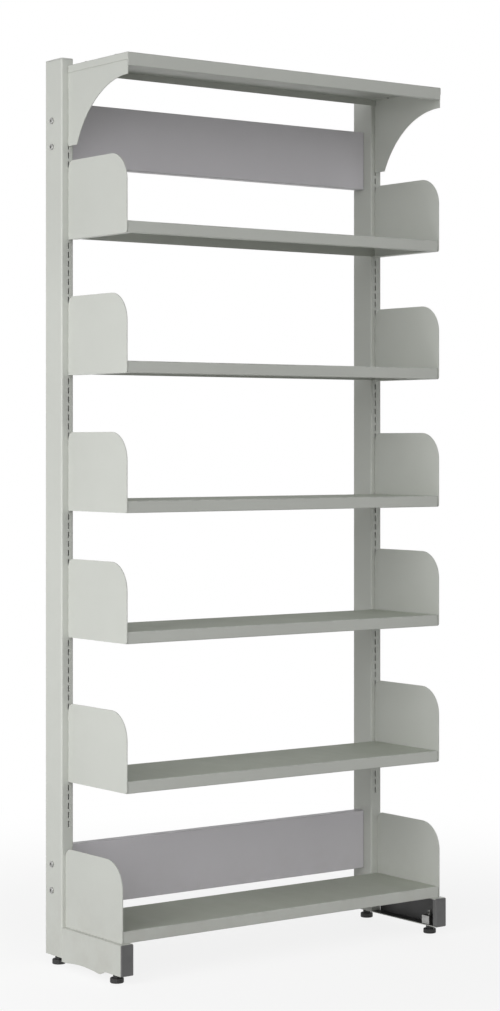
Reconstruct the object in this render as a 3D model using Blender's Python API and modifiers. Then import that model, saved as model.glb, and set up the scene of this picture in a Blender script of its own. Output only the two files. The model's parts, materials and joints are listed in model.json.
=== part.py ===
"""A single-sided steel library rack: two slotted uprights on forward legs, joined by two tie panels,
with a canopy on hooked gusset brackets, adjustable trays on hooked end brackets and a base tray.

Metres, +Z up. The origin is on the floor under the middle of the rack, and -Y is the reader's side.
"""

import math

import bmesh
import bpy
from mathutils import Matrix
from mathutils import Vector

# Frame
WIDTH = 0.914  # over the outer faces of the uprights
HEIGHT = 2.010  # floor to the top of the upright caps
UPRIGHT_WIDTH = 0.031
UPRIGHT_DEPTH = 0.069
UPRIGHT_WALL = 0.002
UPRIGHT_CORNER = 0.004
LEG_REACH = 0.240  # front face of the uprights to the front of the legs
LEG_TOP = 0.087
UNDERSIDE = 0.020  # floor to the underside of the uprights and legs
LEG_WALL = 0.002
LEG_SKIRT = 0.008  # outer web below the underside, between the feet
LEG_SKIRT_FRONT = 0.064  # front of the leg to the end of the skirt
LEG_SKIRT_SLOPE = 0.020  # length over which the skirt runs out there
LEG_ARCH_RISE = 0.0045
LEG_ARCH_REAR = 0.020  # upright to the rear end of the arch
LEG_ARCH_FRONT = 0.092  # front of the leg to the front end of the arch
CAP_THICKNESS = 0.003
CAP_PLUG = 0.010

# Slots in the uprights and the hooks that hang in them
SLOT_PITCH = 0.020
SLOTS_FROM = 0.300
SLOTS_TOP_MARGIN = 0.055
HOOK_NECK = 0.0065
HOOK_DROP = 0.006
HOOK_TIP = 0.004
HOOK_EVERY = 3  # a hook in every third slot
SLOT_PLAY = 0.0005

# Sheet metal
SHEET = 0.0015
PLATE = 0.002
BEND = 0.0025
FIT = 0.0003  # gap left between pieces that touch
TRAY_GAP = 0.001  # in front of and behind a tray

# Trays and their end brackets
LOWEST_TRAY = 0.434  # top of the lowest adjustable tray
TRAY_STEPS = (0, 16, 14, 15, 15)  # slots from each tray up to the next
TRAY_LIP = 0.026
BRACKET_INSET = 0.018  # outer face of the upright to the middle of the bracket plate
BRACKET_REACH = 0.235
BRACKET_HEIGHT = 0.174
BRACKET_FRONT_ROUND = 0.062
BRACKET_REAR_ROUND = 0.020
BRACKET_TOE_ROUND = 0.006
SEAT_WIDTH = 0.015
SEAT_SETBACK = 0.010

# Base
BASE_INSET = 0.011  # outer face of the leg to the middle of the base plate
BASE_SETBACK = 0.0115  # front of the legs to the front of the base plates
BASE_HEIGHT = 0.174
BASE_SEAT_WIDTH = 0.018
BASE_BOLT_END = 0.055  # either end of the base plate to a bolt

# Canopy and its brackets
CANOPY_DROP = 0.0165  # top of the uprights down to the canopy
CANOPY_REACH = 0.240
CANOPY_LIP = 0.029
CANOPY_SKIRT = 0.0165  # rear and end flanges
GUSSET_HEIGHT = 0.1765
GUSSET_FRONT = 0.0475
GUSSET_FOOT = 0.035
GUSSET_SAG = 0.036
GUSSET_FLANGE = 0.018
CANOPY_BOLT_END = 0.060  # front or back of the canopy to a bolt

# Tie panels
TIE_HEIGHT = 0.140
TIE_DEPTH = 0.025
TIE_SETBACK = 0.027  # behind the front face of the uprights
TOP_TIE_DROP = 0.095
BOTTOM_TIE_RISE = 0.036
WELD_NUT_RADIUS = 0.0065
WELD_NUT_LENGTH = 0.006

# Levelling feet
FOOT_RADIUS = 0.015
FOOT_EDGE = 0.002
FOOT_PAD = 0.011
FOOT_COLLAR_RADIUS = 0.0095
STEM_RADIUS = 0.005
STEM_PLAY = 0.0005
STEM_END = 0.014  # stem left above the insert
INSERT_HEIGHT = 0.020
INSERT_LENGTH = 0.026
REAR_FOOT = 0.036  # behind the front face of the uprights
FRONT_FOOT = 0.041  # behind the front of the legs

# Bolts
BOLT_RADIUS = 0.004
BOLT_PLAY = 0.0005
BOLT_HEAD_RADIUS = 0.007
BOLT_HEAD = 0.0033
BOLT_SPREAD = 0.058  # between the two bolts at each end of a tie panel
BOLT_PROUD = 0.003  # thread beyond the last piece
SMALL_BOLT_RADIUS = 0.003
SMALL_BOLT_HEAD_RADIUS = 0.0055
SMALL_BOLT_HEAD = 0.0026
HEAD_FLAT = 0.55  # share of a bolt head's radius that is flat
HEAD_RIM = 0.45  # share of a bolt head's height that is upright

# Smoothness
ROUND_STEPS = 12
FOOT_STEPS = 20
ARC_STEPS = 8
BEND_STEPS = 3
SHARP_ANGLE = math.radians(35)

DEPTH = UPRIGHT_DEPTH + LEG_REACH
BACK_Y = DEPTH / 2
FACE_Y = BACK_Y - UPRIGHT_DEPTH
HALF_WIDTH = WIDTH / 2
BASE_REACH = LEG_REACH - BASE_SETBACK
SLOT_HEIGHT = HOOK_NECK + HOOK_DROP + 2 * SLOT_PLAY
CANOPY_TOP = HEIGHT - CANOPY_DROP
GUSSET_TOP = CANOPY_TOP - SHEET - FIT
GUSSET_BOTTOM = GUSSET_TOP - GUSSET_HEIGHT
SIDES = {"left": -1, "right": 1}
OVERRUN = 0.01  # how far a cutter runs past the face it opens
WELD = 0.00001  # points this near are one point

PAINT = (0.58, 0.59, 0.56)
TIE_PAINT = (0.54, 0.53, 0.56)
CAP_GREY = (0.16, 0.16, 0.16)
FOOT_BLACK = (0.02, 0.02, 0.02)
ZINC = (0.60, 0.60, 0.58)


def collection(name):
    made = bpy.data.collections.new(name)
    bpy.context.scene.collection.children.link(made)
    return made


def material(name, colour, roughness, metallic):
    made = bpy.data.materials.new(name)
    made.use_nodes = True
    shader = made.node_tree.nodes["Principled BSDF"]
    shader.inputs["Base Color"].default_value = (*colour, 1.0)
    shader.inputs["Roughness"].default_value = roughness
    shader.inputs["Metallic"].default_value = metallic
    return made


def part(name, mesh, finish, holder, place=None):
    """A visible piece, with its own copy of a finish, held by an empty."""
    made = bpy.data.objects.new(name, mesh)
    own = finish.copy()
    own.name = name + "_finish"
    mesh.materials.append(own)
    if place is not None:
        made.matrix_world = place
    RACK.objects.link(made)
    made.parent = holder
    made.matrix_parent_inverse = holder.matrix_world.inverted()
    return made


def cutter(name, mesh, place=None):
    """A hidden shape for a Boolean."""
    made = bpy.data.objects.new(name, mesh)
    made.hide_render = True
    made.display_type = "WIRE"
    if place is not None:
        made.matrix_world = place
    CUTTERS.objects.link(made)
    return made


def boolean(target, tool, operation):
    step = target.modifiers.new(tool.name, "BOOLEAN")
    step.operation = operation
    step.solver = "EXACT"
    step.object = tool


def holder_at(name, location):
    made = bpy.data.objects.new(name, None)
    made.empty_display_size = 0.05
    made.location = location
    RACK.objects.link(made)
    bpy.context.view_layer.update()
    return made


def box_place(low, high):
    return Matrix.Translation((Vector(low) + Vector(high)) / 2)


def box_mesh(name, low, high, rounded=None, radius=BEND):
    """A box about its own centre. rounded picks the edges to round from the two ends' coordinates."""
    size = Vector(high) - Vector(low)
    shape = bmesh.new()
    bmesh.ops.create_cube(shape, size=1.0, matrix=Matrix.Diagonal((*size, 1.0)))
    if rounded is not None:
        edges = [edge for edge in shape.edges if rounded(edge.verts[0].co, edge.verts[1].co)]
        bmesh.ops.bevel(
            shape, geom=edges, offset=radius, segments=BEND_STEPS, profile=0.5, affect="EDGES", material=-1
        )
    mesh = bpy.data.meshes.new(name)
    shape.to_mesh(mesh)
    shape.free()
    return mesh


def top_edges(a, b):
    return a.z > 0 and b.z > 0


def front_edges(a, b):
    return a.y < 0 and b.y < 0


def upright_edges(a, b):
    return a.z * b.z < 0


def box_part(name, low, high, finish, holder, rounded=None, radius=BEND):
    return part(name, box_mesh(name, low, high, rounded, radius), finish, holder, box_place(low, high))


def box_cutter(name, low, high):
    return cutter(name, box_mesh(name, low, high), box_place(low, high))


def arc(centre_u, centre_v, radius, start, end):
    """Points of a round corner, angles in degrees."""
    points = []
    for i in range(ARC_STEPS + 1):
        angle = math.radians(start + (end - start) * i / ARC_STEPS)
        points.append((centre_u + radius * math.cos(angle), centre_v + radius * math.sin(angle)))
    return points


def bowed(start, end, sag):
    """Points of a circular arc from start to end, bowed to the left of that line by sag."""
    chord = Vector(end) - Vector(start)
    half = chord.length / 2
    radius = (half * half + sag * sag) / (2 * sag)
    across = Vector((-chord.y, chord.x)).normalized()
    middle = (Vector(start) + Vector(end)) / 2
    centre = middle + across * (sag - radius)
    spread = math.asin(min(1.0, half / radius))
    lead = math.atan2(across.y, across.x)
    points = []
    for i in range(ARC_STEPS + 1):
        angle = lead + spread * (1 - 2 * i / ARC_STEPS)
        points.append((centre.x + radius * math.cos(angle), centre.y + radius * math.sin(angle)))
    return points


def finished_mesh(name, drawn):
    """The evaluated shape of a drawn curve or profile as a welded mesh. The drawing is removed."""
    CUTTERS.objects.link(drawn)
    graph = bpy.context.evaluated_depsgraph_get()
    mesh = bpy.data.meshes.new_from_object(drawn.evaluated_get(graph))
    bpy.data.objects.remove(drawn)
    shape = bmesh.new()
    shape.from_mesh(mesh)
    bmesh.ops.remove_doubles(shape, verts=shape.verts, dist=WELD)
    bmesh.ops.recalc_face_normals(shape, faces=shape.faces)
    shape.to_mesh(mesh)
    shape.free()
    mesh.name = name
    mesh.materials.clear()
    return mesh


def outline_mesh(name, points, thickness):
    """A flat plate from a closed outline."""
    curve = bpy.data.curves.new(name + "_outline", "CURVE")
    curve.dimensions = "2D"
    curve.fill_mode = "BOTH"
    curve.extrude = thickness / 2
    spline = curve.splines.new("POLY")
    spline.points.add(len(points) - 1)
    for point, (u, v) in zip(spline.points, points):
        point.co = (u, v, 0.0, 1.0)
    spline.use_cyclic_u = True
    return finished_mesh(name, bpy.data.objects.new(name + "_outline", curve))


def side_place(x):
    """Turns an outline into the side plane at x: u runs forward from the uprights, v runs up."""
    turn = Matrix(((0, 0, -1, 0), (-1, 0, 0, 0), (0, 1, 0, 0), (0, 0, 0, 1)))
    return Matrix.Translation((x, FACE_Y, 0)) @ turn


def turned_mesh(name, profile, steps):
    """A profile of (radius, height) points, down its outer side, turned about Z and shaded smooth."""
    shape = bmesh.new()
    points = [shape.verts.new((radius, 0, height)) for radius, height in profile]
    for first, second in zip(points, points[1:]):
        shape.edges.new((first, second))
    line = bpy.data.meshes.new(name + "_profile")
    shape.to_mesh(line)
    shape.free()
    drawn = bpy.data.objects.new(name + "_profile", line)
    turn = drawn.modifiers.new("turned", "SCREW")
    turn.steps = steps
    turn.render_steps = steps
    turn.use_merge_vertices = True
    turn.merge_threshold = WELD
    mesh = finished_mesh(name, drawn)
    mesh.shade_smooth()
    mesh.set_sharp_from_angle(angle=SHARP_ANGLE)
    return mesh


def pointing(location, axis):
    """A place at location whose local +Z runs along axis."""
    return Matrix.Translation(location) @ Vector(axis).to_track_quat("Z", "Y").to_matrix().to_4x4()


def round_cutter(name, radius, length, location, axis):
    shape = bmesh.new()
    bmesh.ops.create_cone(
        shape, cap_ends=True, segments=ROUND_STEPS, radius1=radius, radius2=radius, depth=length
    )
    mesh = bpy.data.meshes.new(name)
    shape.to_mesh(mesh)
    shape.free()
    return cutter(name, mesh, pointing(location, axis))


def bolt(name, radius, head_radius, head, length, location, axis):
    """A button-head bolt. location is under its head and axis points out of the head."""
    profile = (
        (0, head),
        (HEAD_FLAT * head_radius, head),
        (head_radius, HEAD_RIM * head),
        (head_radius, 0),
        (radius, 0),
        (radius, -length),
        (0, -length),
    )
    mesh = turned_mesh(name, profile, ROUND_STEPS)
    part(name, mesh, FINISH["zinc"], FRAME, pointing(location, axis))


def slot_bottoms():
    """Heights of the lower edges of the slots. The grid follows the lowest tray."""
    neck = LOWEST_TRAY - TRAY_LIP + SLOT_PITCH
    first = neck - FIT - math.floor((neck - FIT - SLOTS_FROM) / SLOT_PITCH) * SLOT_PITCH
    count = math.floor((HEIGHT - SLOTS_TOP_MARGIN - SLOT_HEIGHT - first) / SLOT_PITCH) + 1
    return [first + i * SLOT_PITCH for i in range(count)]


def hook_necks(low, high):
    """Heights of the hooks' undersides between low and high, one in every third slot."""
    necks = [bottom + FIT for bottom in slot_bottoms()]
    fitting = [neck for neck in necks if neck > low + HOOK_DROP and neck + HOOK_NECK < high]
    return fitting[::HOOK_EVERY]


def hooked_edge(low, high):
    """The rear edge of a hooked plate from high down to low, with its hooks."""
    behind = -UPRIGHT_WALL - FIT
    points = []
    for neck in reversed(hook_necks(low, high)):
        points += [
            (FIT, neck + HOOK_NECK),
            (behind - HOOK_TIP, neck + HOOK_NECK),
            (behind - HOOK_TIP, neck - HOOK_DROP),
            (behind, neck - HOOK_DROP),
            (behind, neck),
            (FIT, neck),
        ]
    return points


def end_plate_outline(bottom, height, reach, hooked):
    """A plate with a small toe round, a large round at the front top and a small one behind."""
    top = bottom + height
    toe, front, rear = BRACKET_TOE_ROUND, BRACKET_FRONT_ROUND, BRACKET_REAR_ROUND
    points = [(FIT, bottom)]
    points += arc(reach - toe, bottom + toe, toe, -90, 0)
    points += arc(reach - front, top - front, front, 0, 90)
    points += arc(FIT + rear, top - rear, rear, 90, 180)
    if hooked:
        points += hooked_edge(bottom + SLOT_PITCH / 2, top - rear)
    return points


def make_upright(side, sign):
    outer = sign * HALF_WIDTH
    inner = sign * (HALF_WIDTH - UPRIGHT_WIDTH)
    low = (min(outer, inner), FACE_Y, UNDERSIDE)
    high = (max(outer, inner), BACK_Y, HEIGHT - CAP_THICKNESS - FIT)
    upright = box_part(side + "_upright", low, high, FINISH["paint"], FRAME, upright_edges, UPRIGHT_CORNER)
    hollow_low = (low[0] + UPRIGHT_WALL, low[1] + UPRIGHT_WALL, low[2] - OVERRUN)
    hollow_high = (high[0] - UPRIGHT_WALL, high[1] - UPRIGHT_WALL, high[2] + OVERRUN)
    boolean(upright, box_cutter(side + "_upright_hollow", hollow_low, hollow_high), "DIFFERENCE")
    boolean(upright, slot_cutter(side, sign), "DIFFERENCE")
    for name, spot in tie_bolt_spots():
        place = (sign * (HALF_WIDTH - UPRIGHT_WIDTH / 2), spot.y, spot.z)
        hole = round_cutter(
            side + "_upright_" + name, BOLT_RADIUS + BOLT_PLAY, UPRIGHT_WIDTH + OVERRUN, place, (1, 0, 0)
        )
        boolean(upright, hole, "DIFFERENCE")


def slot_cutter(side, sign):
    """All the slots of one upright's front wall as one shape."""
    centre_x = sign * (HALF_WIDTH - BRACKET_INSET)
    size = (PLATE + 2 * SLOT_PLAY, 2 * UPRIGHT_WALL, SLOT_HEIGHT, 1.0)
    shape = bmesh.new()
    for bottom in slot_bottoms():
        place = Matrix.Translation((centre_x, FACE_Y, bottom + SLOT_HEIGHT / 2))
        bmesh.ops.create_cube(shape, size=1.0, matrix=place @ Matrix.Diagonal(size))
    mesh = bpy.data.meshes.new(side + "_slots")
    shape.to_mesh(mesh)
    shape.free()
    return cutter(side + "_slots", mesh)


def make_upright_cap(side, sign):
    middle = sign * (HALF_WIDTH - UPRIGHT_WIDTH / 2)
    half_x, half_y = UPRIGHT_WIDTH / 2, UPRIGHT_DEPTH / 2
    middle_y = BACK_Y - half_y
    underside = HEIGHT - CAP_THICKNESS
    cap = box_part(
        side + "_upright_cap",
        (middle - half_x, middle_y - half_y, underside),
        (middle + half_x, middle_y + half_y, HEIGHT),
        FINISH["cap"],
        FRAME,
        upright_edges,
        UPRIGHT_CORNER,
    )
    plug_x, plug_y = half_x - UPRIGHT_WALL - FIT, half_y - UPRIGHT_WALL - FIT
    plug = box_cutter(
        side + "_upright_plug",
        (middle - plug_x, middle_y - plug_y, underside - CAP_PLUG),
        (middle + plug_x, middle_y + plug_y, underside + CAP_THICKNESS / 2),
    )
    boolean(cap, plug, "UNION")


def leg_outline():
    """A leg's outer web seen from the side: a skirt between the feet, with a shallow arch below."""
    foot = UNDERSIDE - LEG_SKIRT
    front = LEG_REACH - CAP_THICKNESS - FIT
    skirt_end = LEG_REACH - LEG_SKIRT_FRONT
    points = [(FIT, foot)]
    points += bowed((LEG_ARCH_REAR, foot), (LEG_REACH - LEG_ARCH_FRONT, foot), LEG_ARCH_RISE)
    points += [(skirt_end - LEG_SKIRT_SLOPE, foot), (skirt_end, UNDERSIDE)]
    return points + [(front, UNDERSIDE), (front, LEG_TOP), (FIT, LEG_TOP)]


def make_leg(side, sign):
    """A channel that opens inwards: two flanges and an outer web that runs on below the bottom one."""
    middle = sign * (HALF_WIDTH - UPRIGHT_WIDTH / 2)
    mesh = outline_mesh(side + "_leg", leg_outline(), UPRIGHT_WIDTH)
    leg = part(side + "_leg", mesh, FINISH["paint"], FRAME, side_place(middle))
    inner = middle - sign * LEG_WALL
    for name, bottom, top in (
        ("hollow", UNDERSIDE + LEG_WALL, LEG_TOP - LEG_WALL),
        ("room_below", UNDERSIDE - LEG_SKIRT - OVERRUN, UNDERSIDE),
    ):
        room = box_cutter(
            side + "_leg_" + name,
            (inner - UPRIGHT_WIDTH / 2, FACE_Y - LEG_REACH - OVERRUN, bottom),
            (inner + UPRIGHT_WIDTH / 2, FACE_Y + OVERRUN, top),
        )
        boolean(leg, room, "DIFFERENCE")
    stem_place = foot_spots(sign)["front"] + Vector((0, 0, UNDERSIDE))
    stem_hole = round_cutter(
        side + "_leg_stem_hole", STEM_RADIUS + STEM_PLAY, 2 * OVERRUN, stem_place, (0, 0, 1)
    )
    boolean(leg, stem_hole, "DIFFERENCE")
    for name, spot in base_bolt_spots(sign):
        hole = round_cutter(
            side + "_leg_" + name, SMALL_BOLT_RADIUS + BOLT_PLAY, 2 * OVERRUN, spot, (0, 0, 1)
        )
        boolean(leg, hole, "DIFFERENCE")


def make_leg_end_cap(side, sign):
    middle = sign * (HALF_WIDTH - UPRIGHT_WIDTH / 2)
    half = UPRIGHT_WIDTH / 2
    front_y = FACE_Y - LEG_REACH
    cap = box_part(
        side + "_leg_end_cap",
        (middle - half, front_y, UNDERSIDE),
        (middle + half, front_y + CAP_THICKNESS, LEG_TOP),
        FINISH["dark_cap"],
        FRAME,
        front_edges,
        CAP_THICKNESS / 2,
    )
    inside = half - LEG_WALL - FIT
    plug = box_cutter(
        side + "_leg_plug",
        (middle - inside, front_y + CAP_THICKNESS / 2, UNDERSIDE + LEG_WALL + FIT),
        (middle + inside, front_y + CAP_THICKNESS + CAP_PLUG, LEG_TOP - LEG_WALL - FIT),
    )
    boolean(cap, plug, "UNION")


def foot_spots(sign):
    """The rear and front feet's places on the floor."""
    x = sign * (HALF_WIDTH - UPRIGHT_WIDTH / 2)
    return {
        "rear": Vector((x, FACE_Y + REAR_FOOT, 0)),
        "front": Vector((x, FACE_Y - LEG_REACH + FRONT_FOOT, 0)),
    }


def make_foot(side, row, spot):
    """A pad with a collar that bears on the leg or the insert when the stem is screwed right in."""
    top = UNDERSIDE + INSERT_HEIGHT + STEM_END
    profile = (
        (0, top),
        (STEM_RADIUS, top),
        (STEM_RADIUS, UNDERSIDE - FIT),
        (FOOT_COLLAR_RADIUS, UNDERSIDE - FIT),
        (FOOT_COLLAR_RADIUS, FOOT_PAD),
        (FOOT_RADIUS - FOOT_EDGE, FOOT_PAD),
        (FOOT_RADIUS, FOOT_PAD - FOOT_EDGE),
        (FOOT_RADIUS, FOOT_EDGE),
        (FOOT_RADIUS - FOOT_EDGE, 0),
        (0, 0),
    )
    name = side + "_" + row + "_foot"
    holder = holder_at(name + "_screw", spot)
    mesh = turned_mesh(name, profile, FOOT_STEPS)
    part(name, mesh, FINISH["foot"], holder, Matrix.Translation(spot))


def make_foot_insert(side, row, spot):
    """A threaded block: it closes the upright's foot, or sits on the leg's bottom flange."""
    if row == "rear":
        half_x = UPRIGHT_WIDTH / 2 - UPRIGHT_WALL - FIT
        low_y, high_y = FACE_Y + UPRIGHT_WALL + FIT, BACK_Y - UPRIGHT_WALL - FIT
        bottom = UNDERSIDE
    else:
        half_x = UPRIGHT_WIDTH / 2 - LEG_WALL - FIT
        low_y, high_y = spot.y - INSERT_LENGTH / 2, spot.y + INSERT_LENGTH / 2
        bottom = UNDERSIDE + LEG_WALL + FIT
    name = side + "_" + row + "_foot_insert"
    insert = box_part(
        name,
        (spot.x - half_x, low_y, bottom),
        (spot.x + half_x, high_y, bottom + INSERT_HEIGHT),
        FINISH["zinc"],
        FRAME,
    )
    place = (spot.x, spot.y, bottom + INSERT_HEIGHT / 2)
    bore = round_cutter(
        name + "_bore", STEM_RADIUS + STEM_PLAY, INSERT_HEIGHT + OVERRUN, place, (0, 0, 1)
    )
    boolean(insert, bore, "DIFFERENCE")


def base_bolt_spots(sign):
    """Where the base plate's seat is bolted down to the leg."""
    x = sign * (HALF_WIDTH - BASE_INSET - PLATE / 2 - BASE_SEAT_WIDTH / 2)
    for name, reach in (("rear", BASE_BOLT_END), ("front", BASE_REACH - BASE_BOLT_END)):
        yield name + "_base_bolt", Vector((x, FACE_Y - reach, LEG_TOP))


def make_base_plate(side, sign):
    bottom = LEG_TOP + FIT
    x = sign * (HALF_WIDTH - BASE_INSET)
    points = end_plate_outline(bottom, BASE_HEIGHT, BASE_REACH, False)
    plate = part(
        side + "_base_plate",
        outline_mesh(side + "_base_plate", points, PLATE),
        FINISH["paint"],
        FRAME,
        side_place(x),
    )
    boolean(plate, seat_cutter(side + "_base_seat", sign, x, BASE_SEAT_WIDTH, BASE_REACH, bottom), "UNION")
    for name, spot in base_bolt_spots(sign):
        hole = round_cutter(
            side + "_plate_" + name, SMALL_BOLT_RADIUS + BOLT_PLAY, 2 * OVERRUN, spot, (0, 0, 1)
        )
        boolean(plate, hole, "DIFFERENCE")
        bolt(
            side + "_" + name,
            SMALL_BOLT_RADIUS,
            SMALL_BOLT_HEAD_RADIUS,
            SMALL_BOLT_HEAD,
            PLATE + LEG_WALL + BOLT_PROUD,
            (spot.x, spot.y, bottom + PLATE + FIT),
            (0, 0, 1),
        )


def seat_cutter(name, sign, x, width, reach, bottom):
    """The inward ledge at a plate's foot that a tray sits on."""
    near, far = x, x - sign * (PLATE / 2 + width)
    front = FACE_Y - reach + TRAY_GAP + SHEET + 2 * FIT
    low = (min(near, far), front, bottom)
    high = (max(near, far), FACE_Y - SEAT_SETBACK, bottom + PLATE)
    return box_cutter(name, low, high)


def make_tray(name, top, inset, reach, holder):
    """A folded tray between two end plates: a deep front lip, and skirts that sit on the seats."""
    half = HALF_WIDTH - inset - PLATE / 2 - FIT
    front, back = FACE_Y - reach + TRAY_GAP, FACE_Y - TRAY_GAP
    bottom = top - TRAY_LIP
    tray = box_part(
        name, (-half, front, bottom), (half, back, top), FINISH["paint"], holder, top_edges
    )
    hollow = box_cutter(
        name + "_hollow",
        (-half + SHEET, front + SHEET, bottom - OVERRUN),
        (half - SHEET, back - SHEET, top - SHEET),
    )
    boolean(tray, hollow, "DIFFERENCE")
    trim = box_cutter(
        name + "_trim",
        (-half - OVERRUN, front + SHEET, bottom - OVERRUN),
        (half + OVERRUN, back + OVERRUN, bottom + PLATE + FIT),
    )
    boolean(tray, trim, "DIFFERENCE")


def make_bracket(name, sign, top, holder):
    bottom = top - TRAY_LIP
    x = sign * (HALF_WIDTH - BRACKET_INSET)
    points = end_plate_outline(bottom, BRACKET_HEIGHT, BRACKET_REACH, True)
    bracket = part(name, outline_mesh(name, points, PLATE), FINISH["paint"], holder, side_place(x))
    seat = seat_cutter(name + "_seat", sign, x, SEAT_WIDTH, BRACKET_REACH, bottom)
    boolean(bracket, seat, "UNION")


def tray_heights():
    """Tops of the adjustable trays, lowest first: as many as fit under the canopy's brackets."""
    heights = []
    top = LOWEST_TRAY
    for step in TRAY_STEPS:
        top += step * SLOT_PITCH
        if top - TRAY_LIP + BRACKET_HEIGHT + HOOK_DROP + SLOT_PLAY < GUSSET_BOTTOM:
            heights.append(top)
    return heights


def make_shelves():
    """The adjustable shelves, numbered from the top as a reader counts them."""
    for number, top in enumerate(reversed(tray_heights()), 1):
        shelf = "shelf_{}".format(number)
        holder = holder_at(shelf + "_hang", (0, FACE_Y, top))
        for side, sign in SIDES.items():
            make_bracket(shelf + "_" + side + "_bracket", sign, top, holder)
        lift = holder_at(shelf + "_lift", (0, FACE_Y - BRACKET_REACH / 2, top))
        make_tray(shelf + "_tray", top, BRACKET_INSET, BRACKET_REACH, lift)


def make_base():
    for side, sign in SIDES.items():
        make_leg(side, sign)
        make_leg_end_cap(side, sign)
        make_base_plate(side, sign)
        for row, spot in foot_spots(sign).items():
            make_foot_insert(side, row, spot)
            make_foot(side, row, spot)
    top = LEG_TOP + FIT + TRAY_LIP
    lift = holder_at("base_lift", (0, FACE_Y - BASE_REACH / 2, top))
    make_tray("base_tray", top, BASE_INSET, BASE_REACH, lift)


def gusset_outline():
    """A bracket with a hooked back and a concave lower edge, notched behind for the canopy's rear flange."""
    front = CANOPY_REACH - SHEET - FIT
    notch = TRAY_GAP + SHEET + FIT
    notch_height = CANOPY_TOP - CANOPY_SKIRT - FIT
    points = [(FIT, GUSSET_BOTTOM)]
    points += bowed((GUSSET_FOOT, GUSSET_BOTTOM), (front, CANOPY_TOP - GUSSET_FRONT), GUSSET_SAG)
    points += [(front, GUSSET_TOP), (notch, GUSSET_TOP), (notch, notch_height), (FIT, notch_height)]
    return points + hooked_edge(GUSSET_BOTTOM, notch_height)


def canopy_bolt_spots(sign):
    x = sign * (HALF_WIDTH - BRACKET_INSET - PLATE / 2 - GUSSET_FLANGE / 2)
    for name, reach in (("rear", CANOPY_BOLT_END), ("front", CANOPY_REACH - CANOPY_BOLT_END)):
        yield name + "_canopy_bolt", Vector((x, FACE_Y - reach, CANOPY_TOP))


def make_canopy_bracket(side, sign):
    name = side + "_canopy_bracket"
    x = sign * (HALF_WIDTH - BRACKET_INSET)
    mesh = outline_mesh(name, gusset_outline(), PLATE)
    bracket = part(name, mesh, FINISH["paint"], FRAME, side_place(x))
    near, far = x, x - sign * (PLATE / 2 + GUSSET_FLANGE)
    flange = box_cutter(
        side + "_canopy_flange",
        (min(near, far), FACE_Y - CANOPY_REACH + 2 * SEAT_SETBACK, GUSSET_TOP - PLATE),
        (max(near, far), FACE_Y - SEAT_SETBACK, GUSSET_TOP),
    )
    boolean(bracket, flange, "UNION")
    for bolt_name, spot in canopy_bolt_spots(sign):
        hole = round_cutter(
            side + "_bracket_" + bolt_name, SMALL_BOLT_RADIUS + BOLT_PLAY, 2 * OVERRUN, spot, (0, 0, 1)
        )
        boolean(bracket, hole, "DIFFERENCE")
        bolt(
            side + "_" + bolt_name,
            SMALL_BOLT_RADIUS,
            SMALL_BOLT_HEAD_RADIUS,
            SMALL_BOLT_HEAD,
            SHEET + PLATE + BOLT_PROUD,
            spot + Vector((0, 0, FIT)),
            (0, 0, 1),
        )


def make_canopy():
    half = HALF_WIDTH - BRACKET_INSET + PLATE / 2 + FIT + SHEET
    front, back = FACE_Y - CANOPY_REACH, FACE_Y - TRAY_GAP
    bottom = CANOPY_TOP - CANOPY_LIP
    canopy = box_part(
        "canopy", (-half, front, bottom), (half, back, CANOPY_TOP), FINISH["paint"], FRAME, top_edges
    )
    hollow = box_cutter(
        "canopy_hollow",
        (-half + SHEET, front + SHEET, bottom - OVERRUN),
        (half - SHEET, back - SHEET, CANOPY_TOP - SHEET),
    )
    boolean(canopy, hollow, "DIFFERENCE")
    side_trim = box_cutter(
        "canopy_side_trim",
        (-half - OVERRUN, front + SHEET, bottom - OVERRUN),
        (half + OVERRUN, back + OVERRUN, CANOPY_TOP - CANOPY_SKIRT),
    )
    boolean(canopy, side_trim, "DIFFERENCE")
    for side, sign in SIDES.items():
        for name, spot in canopy_bolt_spots(sign):
            hole = round_cutter(
                side + "_" + name + "_hole", SMALL_BOLT_RADIUS + BOLT_PLAY, 2 * OVERRUN, spot, (0, 0, 1)
            )
            boolean(canopy, hole, "DIFFERENCE")


def tie_ranges():
    """Lower and upper edges of the two tie panels."""
    top = HEIGHT - TOP_TIE_DROP
    bottom = LEG_TOP + BOTTOM_TIE_RISE
    return {"top": (top - TIE_HEIGHT, top), "bottom": (bottom, bottom + TIE_HEIGHT)}


def tie_bolt_spots():
    """Places of the bolts through the uprights, with x left at the middle."""
    for tie, (low, high) in tie_ranges().items():
        for name, shift in (("upper", BOLT_SPREAD / 2), ("lower", -BOLT_SPREAD / 2)):
            middle = (low + high) / 2
            spot = Vector((0, FACE_Y + TIE_SETBACK + (SHEET + TIE_DEPTH) / 2, middle + shift))
            yield tie + "_tie_bolt_" + name, spot


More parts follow.
